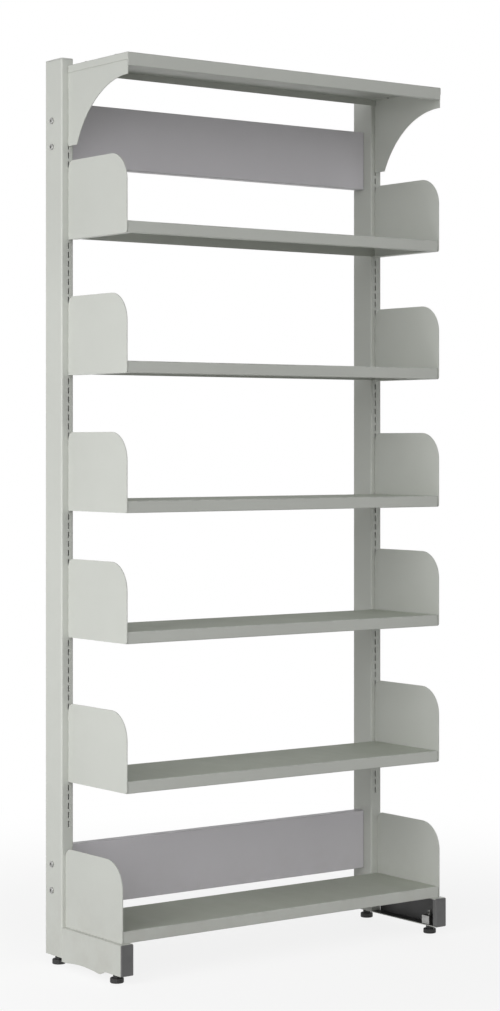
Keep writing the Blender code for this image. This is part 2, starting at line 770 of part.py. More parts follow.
def make_tie(tie, low, high):
    """A shallow pan with its open side to the back and weld nuts inside its ends."""
    half = HALF_WIDTH - UPRIGHT_WIDTH - FIT
    front = FACE_Y + TIE_SETBACK
    name = tie + "_tie_panel"
    panel = box_part(
        name, (-half, front, low), (half, front + TIE_DEPTH, high), FINISH["tie"], FRAME, front_edges
    )
    hollow = box_cutter(
        name + "_hollow",
        (-half + SHEET, front + SHEET, low + SHEET),
        (half - SHEET, front + TIE_DEPTH + OVERRUN, high - SHEET),
    )
    boolean(panel, hollow, "DIFFERENCE")
    spots = [spot for bolt_name, spot in tie_bolt_spots() if bolt_name.startswith(tie)]
    for side, sign in SIDES.items():
        for number, spot in enumerate(spots):
            label = "{}_{}_{}".format(name, side, number)
            inner = half - SHEET - WELD_NUT_LENGTH / 2
            nut_place = (sign * (inner + SHEET / 4), spot.y, spot.z)
            nut = round_cutter(
                label + "_nut", WELD_NUT_RADIUS, WELD_NUT_LENGTH + SHEET / 2, nut_place, (1, 0, 0)
            )
            boolean(panel, nut, "UNION")
            hole_place = (sign * half, spot.y, spot.z)
            hole = round_cutter(
                label + "_hole", BOLT_RADIUS + BOLT_PLAY, 2 * WELD_NUT_LENGTH + OVERRUN, hole_place, (1, 0, 0)
            )
            boolean(panel, hole, "DIFFERENCE")


def make_tie_bolts(side, sign):
    length = UPRIGHT_WIDTH + 2 * FIT + SHEET + WELD_NUT_LENGTH + BOLT_PROUD
    for name, spot in tie_bolt_spots():
        place = (sign * (HALF_WIDTH + FIT), spot.y, spot.z)
        bolt(
            side + "_" + name, BOLT_RADIUS, BOLT_HEAD_RADIUS, BOLT_HEAD, length, place, (sign, 0, 0)
        )


def make_frame():
    for side, sign in SIDES.items():
        make_upright(side, sign)
        make_upright_cap(side, sign)
        make_canopy_bracket(side, sign)
        make_tie_bolts(side, sign)
    for tie, (low, high) in tie_ranges().items():
        make_tie(tie, low, high)
    make_canopy()


for old in list(bpy.data.objects):
    bpy.data.objects.remove(old)

RACK = collection("library_rack")
CUTTERS = collection("library_rack_cutters")
FINISH = {
    "paint": material("grey_paint", PAINT, 0.45, 0.0),
    "tie": material("tie_paint", TIE_PAINT, 0.45, 0.0),
    "cap": material("cap_plastic", PAINT, 0.5, 0.0),
    "dark_cap": material("leg_cap_plastic", CAP_GREY, 0.5, 0.0),
    "foot": material("foot_plastic", FOOT_BLACK, 0.55, 0.0),
    "zinc": material("zinc_plate", ZINC, 0.35, 1.0),
}
FRAME = holder_at("rack_frame", (0, 0, 0))

make_frame()
make_base()
make_shelves()
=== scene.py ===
"""The looks of a single-sided steel library rack: folded trays, eased plates and tubes, powder coat,
plastic caps, zinc bolts and black levelling feet, on a pale floor in soft light from the reader's left.

Metres, +Z up. The origin is on the floor under the middle of the rack, and -Y is the reader's side.
"""

import json
import math

import bmesh
import bpy
from mathutils import Matrix
from mathutils import Vector

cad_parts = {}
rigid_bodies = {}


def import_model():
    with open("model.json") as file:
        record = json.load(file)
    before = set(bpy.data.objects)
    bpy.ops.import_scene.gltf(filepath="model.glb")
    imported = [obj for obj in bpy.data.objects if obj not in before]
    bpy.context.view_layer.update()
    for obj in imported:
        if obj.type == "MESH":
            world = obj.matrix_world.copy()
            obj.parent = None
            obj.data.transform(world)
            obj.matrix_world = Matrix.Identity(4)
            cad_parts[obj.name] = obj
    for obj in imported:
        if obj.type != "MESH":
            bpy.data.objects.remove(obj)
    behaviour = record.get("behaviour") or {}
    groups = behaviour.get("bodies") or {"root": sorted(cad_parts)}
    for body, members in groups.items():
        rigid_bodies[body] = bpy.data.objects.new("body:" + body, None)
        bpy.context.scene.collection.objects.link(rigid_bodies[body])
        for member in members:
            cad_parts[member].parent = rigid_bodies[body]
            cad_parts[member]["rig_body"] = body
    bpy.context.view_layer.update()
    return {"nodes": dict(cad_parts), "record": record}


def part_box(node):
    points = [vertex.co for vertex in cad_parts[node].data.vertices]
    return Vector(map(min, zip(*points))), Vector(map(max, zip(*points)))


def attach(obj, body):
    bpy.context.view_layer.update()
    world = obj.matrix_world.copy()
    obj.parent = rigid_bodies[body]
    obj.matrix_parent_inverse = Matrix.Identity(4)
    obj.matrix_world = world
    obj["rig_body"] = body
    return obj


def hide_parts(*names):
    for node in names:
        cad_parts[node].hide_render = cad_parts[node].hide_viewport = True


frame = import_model()

# Folded trays
SHEET = 0.0015
TRAY_RISE = 0.0023  # a tray's skirts stop this far above the foot of its lip, on the seats
CANOPY_RISE = 0.0125
FOLD = 0.0025  # outer radius of a fold
FOLD_STEPS = 4
HEM = 0.011  # the lip's return under the tray
HEM_TURN = 0.004  # the return's upturned edge
HEM_TURN_RADIUS = 0.0022
HEM_INSET = 0.021  # end of the tray to the end of its return
DEBURR = 0.0003  # raw edges of the sheet
DEBURR_STEPS = 1

# Plates, tubes and channels
EASED = 0.00045
EASED_STEPS = 2
ARC_ROUNDS = 2  # times that the flat stretches of a drawn arc are halved
ARC_MATCH = 0.02  # how nearly equal those stretches are
INSERT_EASED = 0.0014  # the feet's threaded blocks

# Plastic caps
CAP_THICKNESS = 0.003
CAP_EDGE = 0.0012
CAP_EDGE_STEPS = 3
UPRIGHT_CORNER = 0.004
LEG_CORNER = 0.0025
CAP_CORNER_STEPS = 5
CAP_RIM = 0.0045  # round the shallow panel on a cap's face
CAP_SLOPE = 0.0006
CAP_DISH = 0.0005
CAP_PLUG = 0.010
CAP_WALL = 0.0023  # tube wall and play round the plug

# Bolts
BOLT_SIDES = 36
SHANK_SHARE = {"tie": 0.5714, "small": 0.5454}  # shank radius as a share of the head's radius
HEAD_SHARE = 0.472  # head height as a share of its radius
HEAD_RIM = 0.45  # upright part of the head's height
HEAD_FLAT = 0.62  # flat part of the head's radius
HEAD_STEPS = 5
SOCKET_SHARE = 0.46  # over the corners of the hexagon socket
SOCKET_MARGIN = 1.04  # the flat ring round the socket starts this much wider
SOCKET_DEPTH = 0.62
PITCH_SHARE = 0.32  # thread pitch as a share of the shank's radius
THREAD_SHARE = 0.16  # thread depth as a share of the shank's radius
THREAD_LEAD = 0.25  # chamfer at a bolt's end, as a share of the pitch

# Levelling feet
FOOT_SIDES = 96
FOOT_RADIUS = 0.015
FOOT_PAD = 0.011
FOOT_ROUND = 0.002
FOOT_SOLE = 0.0115  # radius of the hollow under the pad
FOOT_HOLLOW = 0.0007
FLUTES = 16
FLUTE_DEPTH = 0.0007
FLUTE_POWER = 3  # how narrow the scallops are
COLLAR_RADIUS = 0.0095  # over the corners of the hexagon collar
COLLAR_TOP = 0.0197
COLLAR_CHAMFER = 0.0008
STEM_RADIUS = 0.005  # the threaded stud
STEM_TOP = 0.054
STEM_PITCH = 0.00125
STEM_THREAD = 0.0006

# Meshing
MERGE = 0.00001
FLAT = math.radians(0.5)  # faces that bend less than this are one face
CREASE = math.radians(50)  # edges that bend more than this are eased
ARC_BEND = math.radians(31)  # the stretches of a drawn arc bend less than this
SMOOTH_BELOW = math.radians(42)  # edges that bend more than this are shaded sharp
HEXAGON_SIDE = math.radians(60)

# Directions
LEFT = (-1, 0, 0)
RIGHT = (1, 0, 0)
TO_READER = (0, -1, 0)
UP = (0, 0, 1)

# Camera, fitted to the photo's upright edges and shelf lines
CAMERA_PLACE = (-3.261, -4.413, 1.157)
CAMERA_YAW = math.radians(-36.41)
CAMERA_LENS = 85.175
CAMERA_SHIFT = (0.0012, -0.0614)

# Light
SOFT_LIGHTS = (
    ("near_soft_light", (-2.3, -0.3, 0.9), (1.0, 1.8), 18.0),
    ("high_soft_light", (-2.6, -0.7, 1.7), (1.2, 2.0), 8.5),
    ("back_soft_light", (1.7, 2.4, 0.5), (1.6, 0.8), 22.0),
)
LIGHT_AIM = (0.0, 0.0, 1.0)
# Directions to the bright and the dim side of the room, as long as each is strong
ROOM_LIGHT = (-0.98, -1.30, -0.28)
ROOM_FILL = (0.30, 0.38, -0.10)
WHITE_STRENGTH = 1.0

# Floor
FLOOR_RADIUS = 60.0
FLOOR_SIDES = 96
FLOOR_COLOUR = (0.95, 0.95, 0.94, 1.0)
FLOOR_BOUNCE = (0.50, 0.50, 0.49, 1.0)  # what the floor throws back up
FLOOR_ROUGHNESS = 0.9
FLOOR_SHADOW_REACH = (0.5, 2.2)  # the floor fades to plain white between these distances
FLOOR_SHADOW_SHARE = 0.16

# Colours
WHITE = (1.0, 1.0, 1.0, 1.0)
PAINT = (0.585, 0.600, 0.560)
TIE_PAINT = (0.650, 0.630, 0.665)
CAP_GREY = (0.56, 0.57, 0.54)
LEG_CAP_GREY = (0.135, 0.135, 0.135)
FOOT_BLACK = (0.018, 0.018, 0.018)
ZINC = (0.40, 0.40, 0.39)
# painted shade that darkens the inside of the legs' channels, which lie in shade under the base tray
PAINTED_CHANNEL_SHADE = (0.065, 0.065, 0.065, 1.0)
# painted shade on the tops of trays, which lie in shade under the shelf above, with book wear
WORN_AND_SHADED_TOP = (0.395, 0.428, 0.352, 1.0)
DUST = (0.43, 0.41, 0.37, 1.0)

# Shares of a finish's own colour
DRIFT_SHADES = (0.965, 1.035)
FLECK_SHADE = 0.86
RUB_SHADE = 0.72
CLOUD_SHADES = (0.92, 1.08)
SCUFF_SHADE = 1.35
ZINC_SHADES = (0.82, 1.08)

# Noise: features to the metre, detail and roughness
TONE_DRIFT = (2.3, 3.0, 0.5)
FLECKS = (420.0, 1.0, 0.5)
BOOK_STREAKS = (24.0, 2.0, 0.5)
STREAK_STRETCH = (1.0, 0.12, 1.0)  # streaks run from front to back
RUBBING = (38.0, 4.0, 0.5)
DUST_SPECKS = (19.0, 6.0, 0.65)
COAT_GLOSS = (26.0, 3.0, 0.5)
COAT_WAVES = (5.0, 1.0, 0.5)
ORANGE_PEEL = (850.0, 2.0, 0.5)
PLASTIC_CLOUD = (30.0, 3.0, 0.5)
PLASTIC_SCUFFS = (60.0, 4.0, 0.5)
PLASTIC_GLOSS = (90.0, 2.0, 0.5)
SPARK_GRAIN = (1600.0, 2.0, 0.5)
ZINC_PATCHES = (240.0, 4.0, 0.5)
ZINC_GLOSS = (160.0, 2.0, 0.5)
ZINC_CRYSTALS = (2200.0, 2.0, 0.5)

# Bands that are picked out of a noise or a height
WHOLE = (0.0, 1.0)
MIDDLE_BAND = (0.3, 0.7)
FLECK_BAND = (0.62, 0.75)
RUB_BAND = (0.42, 0.62)
DUST_BAND = (0.38, 0.66)
DUST_HEIGHT = (0.02, 0.22)  # metres above the floor
SCUFF_BAND = (0.45, 0.65)
ZINC_BAND = (0.35, 0.65)

# What those bands are carried to
FLECK_SHARE = (0.0, 0.22)
# how far a tray top goes to its worn and shaded colour: mostly painted shade, with streaks of wear
WEAR_AND_SHADE_SHARE = (0.58, 0.74)
RUB_SHARE = (0.0, 0.55)
DUST_SHARE = (0.30, 0.0)
SCUFF_SHARE = (0.0, 0.5)
COAT_ROUGHNESS = (0.40, 0.54)
WORN_ROUGHNESS = (0.0, 0.25)  # added on the top of a tray
PLASTIC_SPREAD = (-0.06, 0.08)  # added to a plastic's own roughness
ZINC_ROUGHNESS = (0.28, 0.46)

# Relief: depth in metres and strength
WAVE_RELIEF = (0.0012, 0.25)
PEEL_RELIEF = (0.00012, 0.35)
SPARK_DEPTH = 0.0001
ZINC_RELIEF = (0.00005, 0.3)

# The Mix node's colour inputs and colour output, by number
MIX_COLOURS = (6, 7)
MIX_RESULT = 2


def shade(colour, share):
    """A share of a colour, opaque."""
    return (colour[0] * share, colour[1] * share, colour[2] * share, 1.0)


class Finish:
    """A node material with its Principled shader, and short ways to add and join nodes."""

    def __init__(self, name):
        self.material = bpy.data.materials.new(name)
        self.material.use_nodes = True
        self.nodes = self.material.node_tree.nodes
        self.shader = self.nodes["Principled BSDF"]
        self.place = self.add("ShaderNodeTexCoord").outputs["Object"]

    def add(self, kind, settings=None, values=None):
        made = self.nodes.new(kind)
        for key, value in (settings or {}).items():
            setattr(made, key, value)
        for key, value in (values or {}).items():
            made.inputs[key].default_value = value
        return made

    def join(self, output, node, socket):
        self.material.node_tree.links.new(output, node.inputs[socket])

    def grain(self, noise, stretch=None):
        """One of the noises above, stretched along an axis where asked."""
        scale, detail, roughness = noise
        values = {"Scale": scale, "Detail": detail, "Roughness": roughness}
        texture = self.add("ShaderNodeTexNoise", None, values)
        place = self.place
        if stretch is not None:
            mapping = self.add("ShaderNodeMapping", None, {"Scale": stretch})
            self.join(place, mapping, "Vector")
            place = mapping.outputs["Vector"]
        self.join(place, texture, "Vector")
        return texture.outputs["Fac"]

    def span(self, value, band, reach, curve="LINEAR"):
        """A value carried from a band to a reach and held at its ends."""
        ramp = self.add(
            "ShaderNodeMapRange",
            {"clamp": True, "interpolation_type": curve},
            {"From Min": band[0], "From Max": band[1], "To Min": reach[0], "To Max": reach[1]},
        )
        self.join(value, ramp, "Value")
        return ramp.outputs["Result"]

    def combine(self, operation, first, second):
        """Two values added, multiplied or the like."""
        math_node = self.add("ShaderNodeMath", {"operation": operation})
        self.join(first, math_node, 0)
        self.join(second, math_node, 1)
        return math_node.outputs["Value"]

    def product(self, first, second):
        return self.combine("MULTIPLY", first, second)

    def blend(self, share, first, second):
        """Colours mixed by a share. Each is a plain colour or another node's output."""
        mix = self.add("ShaderNodeMix", {"data_type": "RGBA"})
        self.join(share, mix, "Factor")
        for number, colour in zip(MIX_COLOURS, (first, second)):
            if isinstance(colour, tuple):
                mix.inputs[number].default_value = colour
            else:
                self.join(colour, mix, number)
        return mix.outputs[MIX_RESULT]

    def two_tones(self, noise, band, colour, shades):
        """A colour that drifts between two shades of itself."""
        drift = self.span(self.grain(noise), band, WHOLE)
        return self.blend(drift, shade(colour, shades[0]), shade(colour, shades[1]))

    def relief(self, *layers):
        """Bumps laid over each other, each with its height, depth in metres and strength."""
        under = None
        for height, depth, strength in layers:
            bump = self.add("ShaderNodeBump", None, {"Distance": depth, "Strength": strength})
            self.join(height, bump, "Height")
            if under is not None:
                self.join(under, bump, "Normal")
            under = bump.outputs["Normal"]
        self.join(under, self.shader, "Normal")

    def mark(self, name):
        """Faces marked while they were modelled, such as eased edges."""
        return self.add("ShaderNodeAttribute", {"attribute_name": name}).outputs["Fac"]

    def height(self):
        """Height above the floor."""
        parts = self.add("ShaderNodeSeparateXYZ")
        self.join(self.place, parts, "Vector")
        return parts.outputs["Z"]


def top_wear_and_shade(finish):
    """Tops of trays: streaks of wear from books pushed in and drawn out, from front to back, over
    painted shade.
    """
    streaks = finish.span(finish.grain(BOOK_STREAKS, STREAK_STRETCH), MIDDLE_BAND, WEAR_AND_SHADE_SHARE)
    return finish.product(finish.mark("top"), streaks)


def powder_coat(name, colour, painted_channel_shade=False, worn_and_shaded_top=False):
    """Satin powder coat: drifting tone, orange peel, rubbed edges and dust low down; where asked,
    painted shade on worn tray tops and inside leg channels.
    """
    finish = Finish(name)
    tone = finish.two_tones(TONE_DRIFT, MIDDLE_BAND, colour, DRIFT_SHADES)
    flecks = finish.span(finish.grain(FLECKS), FLECK_BAND, FLECK_SHARE)
    tone = finish.blend(flecks, tone, shade(colour, FLECK_SHADE))
    # painted shade and book wear on tray tops
    if worn_and_shaded_top:
        tone = finish.blend(top_wear_and_shade(finish), tone, WORN_AND_SHADED_TOP)
    rubbing = finish.span(finish.grain(RUBBING), RUB_BAND, RUB_SHARE)
    tone = finish.blend(finish.product(finish.mark("rim"), rubbing), tone, shade(colour, RUB_SHADE))
    low_down = finish.span(finish.height(), DUST_HEIGHT, DUST_SHARE)
    specks = finish.span(finish.grain(DUST_SPECKS), DUST_BAND, WHOLE)
    tone = finish.blend(finish.product(low_down, specks), tone, DUST)
    # painted shade inside the leg's channel
    if painted_channel_shade:
        tone = finish.blend(finish.mark("inside"), tone, PAINTED_CHANNEL_SHADE)
    finish.join(tone, finish.shader, "Base Color")
    gloss = finish.span(finish.grain(COAT_GLOSS), MIDDLE_BAND, COAT_ROUGHNESS)
    if worn_and_shaded_top:
        dulled = finish.span(finish.mark("top"), WHOLE, WORN_ROUGHNESS)
        gloss = finish.combine("ADD", gloss, dulled)
    finish.join(gloss, finish.shader, "Roughness")
    waves = finish.grain(COAT_WAVES)
    peel = finish.grain(ORANGE_PEEL)
    finish.relief((waves, *WAVE_RELIEF), (peel, *PEEL_RELIEF))
    return finish.material


def moulded_plastic(name, colour, rough, spark):
    """Moulded plastic: a fine spark-eroded grain and a slightly cloudy tone."""
    finish = Finish(name)
    tone = finish.two_tones(PLASTIC_CLOUD, MIDDLE_BAND, colour, CLOUD_SHADES)
    scuffs = finish.span(finish.grain(PLASTIC_SCUFFS), SCUFF_BAND, SCUFF_SHARE)
    tone = finish.blend(finish.product(finish.mark("rim"), scuffs), tone, shade(colour, SCUFF_SHADE))
    finish.join(tone, finish.shader, "Base Color")
    roughness = [rough + spread for spread in PLASTIC_SPREAD]
    gloss = finish.span(finish.grain(PLASTIC_GLOSS), MIDDLE_BAND, roughness)
    finish.join(gloss, finish.shader, "Roughness")
    finish.relief((finish.grain(SPARK_GRAIN), SPARK_DEPTH, spark))
    return finish.material


def zinc_plate(name):
    """Bright zinc on turned steel: patchy tone and a fine crystalline skin."""
    finish = Finish(name)
    tone = finish.two_tones(ZINC_PATCHES, ZINC_BAND, ZINC, ZINC_SHADES)
    finish.join(tone, finish.shader, "Base Color")
    finish.shader.inputs["Metallic"].default_value = 1.0
    gloss = finish.span(finish.grain(ZINC_GLOSS), MIDDLE_BAND, ZINC_ROUGHNESS)
    finish.join(gloss, finish.shader, "Roughness")
    finish.relief((finish.grain(ZINC_CRYSTALS), *ZINC_RELIEF))
    return finish.material


FINISHES = {
    "paint": powder_coat("rack_powder_coat", PAINT),
    "tray_paint": powder_coat("tray_powder_coat", PAINT, worn_and_shaded_top=True),
    "leg_paint": powder_coat("leg_powder_coat", PAINT, painted_channel_shade=True),
    "tie_paint": powder_coat("tie_panel_powder_coat", TIE_PAINT),
    "cap_plastic": moulded_plastic("upright_cap_plastic", CAP_GREY, rough=0.48, spark=0.25),
    "leg_cap_plastic": moulded_plastic("leg_cap_plastic", LEG_CAP_GREY, rough=0.50, spark=0.30),
    "foot_plastic": moulded_plastic("foot_plastic", FOOT_BLACK, rough=0.55, spark=0.35),
    "zinc": zinc_plate("zinc_plate"),
}
SLOT_OF = {row["node"]: row["material_slot"] for row in frame["record"]["subparts"]}


def marks(shape, name):
    """The named marks of a shape's faces. A new kind of mark is made before any face is picked."""
    return shape.faces.layers.float.get(name) or shape.faces.layers.float.new(name)


def ease(shape, edges, offset, steps):
    """Rounds edges and marks the new faces as rims."""
    rims = marks(shape, "rim")
    made = bmesh.ops.bevel(
        shape,
        geom=[edge for edge in shape.edges if edges(edge)],
        offset=offset,
        offset_type="OFFSET",
        segments=steps,
        profile=0.5,
        affect="EDGES",
        clamp_overlap=True,
        material=-1,
    )
    for face in made["faces"]:
        face[rims] = 1.0


def is_crease(edge):
    """Whether an edge is sharp enough to be eased."""
    return edge.is_manifold and edge.calc_face_angle() > CREASE


def piece(name, shape, node, finish=None, slot=None):
    """Puts a finished shape in the place of a CAD node, on its body, and in its slot or another."""
    slot = slot or SLOT_OF[node]
    mesh = bpy.data.meshes.new(name)
    shape.to_mesh(mesh)
    shape.free()
    mesh.shade_smooth()
    mesh.set_sharp_from_angle(angle=SMOOTH_BELOW)
    made = bpy.data.objects.new(name, mesh)
    bpy.context.scene.collection.objects.link(made)
    mesh.materials.append(FINISHES[finish or slot])
    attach(made, frame["nodes"][node]["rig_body"])
    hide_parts(node)
    level = made.modifiers.new("level_faces", "WEIGHTED_NORMAL")
    level.keep_sharp = True


def sides_of(face, bend):
    """The edges of a face that leave one of its bends."""
    return [edge for edge in face.edges if edge != bend and set(edge.verts) & set(bend.verts)]


def width(face, bend):
    """How wide a flat stretch is, measured from one of its bends."""
    return sum(edge.calc_length() for edge in sides_of(face, bend)) / 2


def arc_bend(face):
    """The bend from a flat stretch of a drawn arc to an equal one beside it."""
    for bend in face.edges:
        if bend.is_manifold and FLAT < bend.calc_face_angle() < ARC_BEND:
            four_sided = all(len(stretch.edges) == 4 for stretch in bend.link_faces)
            widths = [width(stretch, bend) for stretch in bend.link_faces]
            if four_sided and math.isclose(*widths, rel_tol=ARC_MATCH):
                return bend
    return None


def round_arcs(shape):
    """Halves each flat stretch of a drawn arc, with its middle out on the arc."""
    shape.normal_update()
    stretches = []
    middles = {}
    for face in shape.faces:
        bend = arc_bend(face)
        if bend:
            # how far the arc stands out from a stretch one metre wide
            bulge = face.normal * math.tan(bend.calc_face_angle_signed() / 4) / 2
            sides = sides_of(face, bend)
            stretches.append((face, sides))
            for edge in sides:
                middles[edge] = (edge.verts[0].co + edge.verts[1].co) / 2 + bulge * edge.calc_length()
    points = {}
    for edge, middle in middles.items():
        points[edge] = bmesh.utils.edge_split(edge, edge.verts[0], 0.5)[1]
        points[edge].co = middle
    for face, (first, second) in stretches:
        bmesh.utils.face_split(face, points[first], points[second])


def mark_inside(shape, middle):
    """Marks the faces that look in on the long axis, such as the inside of a leg's channel."""
    insides = marks(shape, "inside")
    for face in shape.faces:
        inward = middle - face.calc_center_median()
        face[insides] = float(face.normal.x * inward.x + face.normal.z * inward.z > 0.0)


def eased_copy(node, finish=None, offset=EASED):
    """A plate, tube, channel or block as the solid has it, with its cut edges eased."""
    shape = bmesh.new()
    shape.from_mesh(frame["nodes"][node].data)
    bmesh.ops.remove_doubles(shape, verts=shape.verts, dist=MERGE)
    bmesh.ops.dissolve_limit(shape, angle_limit=FLAT, verts=shape.verts, edges=shape.edges)
    for _ in range(ARC_ROUNDS):
        round_arcs(shape)
    ease(shape, is_crease, offset, EASED_STEPS)
    shape.normal_update()
    mark_inside(shape, sum(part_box(node), Vector()) / 2)
    piece(node + "_eased", shape, node, finish)


def block(low, high):
    """A box between two of its corners."""
    shape = bmesh.new()
    place = Matrix.Translation((low + high) / 2) @ Matrix.Diagonal((*(high - low), 1.0))
    bmesh.ops.create_cube(shape, size=1.0, matrix=place)
    return shape


def quarter(radius, steps):
    """Sines and one-minus-cosines of a quarter turn, scaled to a radius."""
    for step in range(1, steps + 1):
        angle = math.radians(90) * step / steps
        yield radius * math.sin(angle), radius * (1.0 - math.cos(angle))


def hem_path(rise):
    """Places (back, up) down the lip, round its foot, along the return and up its edge."""
    radius = min(rise, FOLD)
    path = [(0.0, radius - rise)] if rise > radius else []
    path += [(back, radius - rise - down) for down, back in quarter(radius, FOLD_STEPS)]
    flat_end = HEM - HEM_TURN_RADIUS
    path.append((flat_end, -rise))
    path += [(flat_end + back, up - rise) for back, up in quarter(HEM_TURN_RADIUS, FOLD_STEPS)]
    return path + [(HEM, HEM_TURN - rise)]


def extend(shape, edges):
    """Draws faces out of open edges. Gives the new edges and points, which have yet to be moved."""
    made = bmesh.ops.extrude_edge_only(shape, edges=edges)["geom"]
    new_edges = [item for item in made if isinstance(item, bmesh.types.BMEdge)]
    new_points = [item for item in made if isinstance(item, bmesh.types.BMVert)]
    return new_edges, new_points


def fold(shape, edges, path):
    """Carries open edges along a path of (back, up) places."""
    last = Vector()
    for back, up in path:
        place = Vector((0.0, back, up))
        edges, points = extend(shape, edges)
        bmesh.ops.translate(shape, verts=points, vec=place - last)
        last = place


def lip_foot(shape, low, rise, inner):
    """The open edges along the front skirt, either those over the return or those at its ends."""
    reach = abs(low.x) - HEM_INSET + MERGE
    for edge in shape.edges:
        points = [point.co for point in edge.verts]
        along = all(abs(co.y - low.y) < MERGE and abs(co.z - low.z - rise) < MERGE for co in points)
        if along and all(abs(co.x) < reach for co in points) == inner:
            yield edge


def folded_tray(node, rise, finish=None):
    """A tray folded from one sheet: skirts, a deeper front lip and a return along the lip's foot."""
    low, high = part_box(node)
    shape = block(low + Vector((0.0, 0.0, rise)), high)
    underside = min(shape.faces, key=lambda face: face.calc_center_median().z)
    bmesh.ops.delete(shape, geom=[underside], context="FACES_ONLY")
    ease(shape, is_crease, FOLD, FOLD_STEPS)
    for x in (low.x + HEM_INSET, high.x - HEM_INSET):
        whole = shape.verts[:] + shape.edges[:] + shape.faces[:]
        bmesh.ops.bisect_plane(shape, geom=whole, dist=MERGE, plane_co=(x, 0, 0), plane_no=RIGHT)
    ends = list(lip_foot(shape, low, rise, False))
    middle = list(lip_foot(shape, low, rise, True))
    fold(shape, ends, [(0.0, -rise)])
    fold(shape, middle, hem_path(rise))
    shape.normal_update()
    bmesh.ops.solidify(shape, geom=shape.faces[:], thickness=SHEET)
    ease(shape, is_crease, DEBURR, DEBURR_STEPS)
    bmesh.ops.dissolve_degenerate(shape, edges=shape.edges, dist=MERGE)
    tops = marks(shape, "top")
    for face in shape.faces:
        face[tops] = float(face.calc_center_median().z > high.z - MERGE)
    piece(node + "_folded", shape, node, finish)


def turned(profile, sides):
    """A turned shape from the (radius, height) points of its half section."""
    shape = bmesh.new()
    points = [shape.verts.new((radius, 0.0, height)) for radius, height in profile]
    lines = [shape.edges.new(pair) for pair in zip(points, points[1:])]
    bmesh.ops.spin(shape, geom=points + lines, axis=UP, angle=math.tau, steps=sides, use_merge=True)
    bmesh.ops.remove_doubles(shape, verts=shape.verts, dist=MERGE)
    return shape


def thread(radius, depth, pitch, low, high):
    """Half section of a thread between two heights."""
    turns = int((high - low) / pitch)
    section = []
    for turn in range(turns):
        section += [(radius - depth, low + turn * pitch), (radius, low + (turn + 0.5) * pitch)]
    return section + [(radius - depth, low + turns * pitch)]


def hexagon(point):
    """Distance to a hexagon's edge in a point's direction, for corners one away from its middle."""
    angle = math.atan2(point.co.y, point.co.x) % HEXAGON_SIDE
    return math.cos(HEXAGON_SIDE / 2) / math.cos(angle - HEXAGON_SIDE / 2)


def reshape_ring(points, radius_at):
    """Moves each point in or out to the radius that it is given."""
    for point in points:
        out = Vector((point.co.x, point.co.y, 0.0)).normalized() * radius_at(point)
        point.co.x, point.co.y = out.x, out.y


def socket(shape, top, radius, depth):
    """Sinks a hexagon socket into the open ring at the top of a bolt's head."""
    edges = [edge for edge in shape.edges if edge.is_boundary]
    for drop in (0.0, depth):
        edges, points = extend(shape, edges)
        reshape_ring(points, lambda point: radius * hexagon(point))
        for point in points:
            point.co.z = top - drop
    bmesh.ops.contextual_create(shape, geom=edges)


def turned_bolt(node, kind, axis):
    """A full-threaded bolt with a domed head and a hexagon socket."""
    low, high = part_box(node)
    size = high - low
    along = Vector(axis)
    length = abs(size.dot(along))
    radius = (size.x + size.y + size.z - length) / 4  # half of its two widths' mean
    head = radius * HEAD_SHARE
    shank = radius * SHANK_SHARE[kind]
    end = head - length
    root = shank * (1.0 - THREAD_SHARE)
    pitch = shank * PITCH_SHARE
    lead = pitch * THREAD_LEAD
    crown = head * (1.0 - HEAD_RIM)
    section = [(0.0, end), (root - lead, end)]
    section += thread(shank, shank - root, pitch, end + lead, -pitch)
    section += [(root, 0.0), (radius, 0.0), (radius, head - crown)]
    for rise, back in quarter(1.0, HEAD_STEPS):
        section.append((radius - radius * (1.0 - HEAD_FLAT) * back, head - crown + crown * rise))
    section.append((radius * SOCKET_SHARE * SOCKET_MARGIN, head))
    shape = turned(section, BOLT_SIDES)
    socket(shape, head, radius * SOCKET_SHARE, head * SOCKET_DEPTH)
    bmesh.ops.recalc_face_normals(shape, faces=shape.faces)
    middle = (low + high) / 2
    seat = middle + along * (length / 2 - head)
    turn = along.to_track_quat("Z", "Y").to_matrix().to_4x4()
    bmesh.ops.transform(shape, matrix=Matrix.Translation(seat) @ turn, verts=shape.verts)
    piece(node + "_turned", shape, node)


def foot_section():
    """Half section of a levelling foot: hollowed sole, rounded rim and collar."""
    edge = FOOT_RADIUS - FOOT_ROUND
    shoulder = FOOT_PAD - FOOT_ROUND
    section = [(0.0, FOOT_HOLLOW), (FOOT_SOLE - FOOT_HOLLOW, FOOT_HOLLOW)]
    section += [(FOOT_SOLE, 0.0), (edge, 0.0)]
    section += [(edge + out, up) for out, up in quarter(FOOT_ROUND, FOLD_STEPS)]
    section += [(FOOT_RADIUS - back, shoulder + up) for up, back in quarter(FOOT_ROUND, FOLD_STEPS)]
    section += [(COLLAR_RADIUS, FOOT_PAD), (COLLAR_RADIUS, COLLAR_TOP - COLLAR_CHAMFER)]
    return section + [(COLLAR_RADIUS - COLLAR_CHAMFER, COLLAR_TOP), (0.0, COLLAR_TOP)]


def stud_section():
    """Half section of the threaded stud that is moulded into a foot."""
    root = STEM_RADIUS - STEM_THREAD
    sunk = COLLAR_TOP - STEM_PITCH
    section = [(0.0, sunk), (root, sunk)]
    section += thread(STEM_RADIUS, STEM_THREAD, STEM_PITCH, COLLAR_TOP, STEM_TOP - STEM_THREAD)
    return section + [(root - STEM_THREAD, STEM_TOP), (0.0, STEM_TOP)]


def flute(point):
    """A pad's radius at a point of its rim, scalloped for the fingers."""
    wave = 0.5 + 0.5 * math.cos(FLUTES * math.atan2(point.co.y, point.co.x))
    return point.co.xy.length - FLUTE_DEPTH * wave ** FLUTE_POWER


